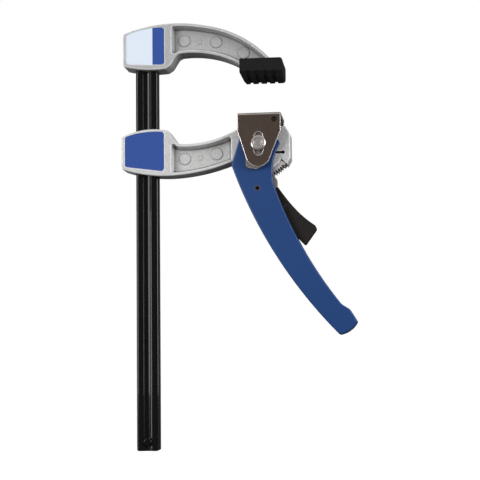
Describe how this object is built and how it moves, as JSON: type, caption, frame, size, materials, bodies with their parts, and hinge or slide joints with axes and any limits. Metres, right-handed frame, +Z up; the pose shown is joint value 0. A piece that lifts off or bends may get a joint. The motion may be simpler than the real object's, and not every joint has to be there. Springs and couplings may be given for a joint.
{
  "type": "quick release bar clamp",
  "caption": "Quick release bar clamp: fixed arm on a steel bar, sliding arm with a ratchet lever, release trigger and rising jaw cap.",
  "frame": {"origin": "centre of the fixed jaw pad's clamping face", "axes": "+Z up along the bar, against the way the clamping face looks; +X from the bar out to the jaws; +Y away from the labelled side"},
  "size_m": [0.1764, 0.0378, 0.3233],
  "materials": {
    "gloss_black": "gloss black enamel",
    "cast_aluminium": "shot blasted casting, fine grain",
    "black_rubber": "matt",
    "pale_film": "printed film, semi gloss",
    "blue_film": "printed film, semi gloss",
    "plated_steel": "bright plated sheet",
    "pin_steel": "turned steel",
    "tool_steel": "hardened, dull grey",
    "spring_steel": "oiled spring wire",
    "blue_enamel": "satin blue powder coat",
    "black_plastic": "moulded, fine texture"
  },
  "bodies": {
    "bar_frame": {"bar": "gloss_black", "bar_stop_pin": "gloss_black", "fixed_arm": "cast_aluminium", "fixed_arm_pins": "pin_steel", "fixed_jaw_pad": "black_rubber", "upper_label": "pale_film"},
    "sliding_arm": {"sliding_arm": "cast_aluminium", "grip_pins": "pin_steel", "lower_label": "blue_film", "ratchet_sector": "tool_steel", "pivot_pin": "pin_steel", "thrust_plates": "plated_steel", "lever_spring": "spring_steel"},
    "lever": {"lever": "blue_enamel", "pawl_pin": "pin_steel", "pawl_spring": "spring_steel"},
    "trigger": {"pawl": "tool_steel", "trigger": "black_plastic", "trigger_pin": "pin_steel"},
    "jaw_cap": {"jaw_cap": "plated_steel", "pressure_bar": "tool_steel"}
  },
  "joints": [
    {"name": "arm_slide", "type": "slide", "parent": "bar_frame", "child": "sliding_arm", "axis": [0, 0, 1], "range_m": [-0.195, 0.0215]},
    {"name": "lever_hinge", "type": "hinge", "parent": "sliding_arm", "child": "lever", "pos_m": [-0.0022, 0, -0.0511], "axis": [0, 1, 0], "range_deg": [-25, 30], "deforming": ["lever_spring"]},
    {"name": "jaw_cap_slide", "type": "slide", "parent": "sliding_arm", "child": "jaw_cap", "axis": [0, 0, 1], "range_m": [-0.0046, 0.0055]},
    {"name": "trigger_hinge", "type": "hinge", "parent": "lever", "child": "trigger", "pos_m": [-0.0039, 0, -0.0841], "axis": [0, 1, 0], "range_deg": [-5.5, 12], "stiffness_Nm_per_rad": 0.6, "deforming": ["pawl_spring"]}
  ],
  "couplings": [
    {"joint": "jaw_cap_slide", "follows": "lever_hinge", "m_per_rad": 0.0103}
  ]
}
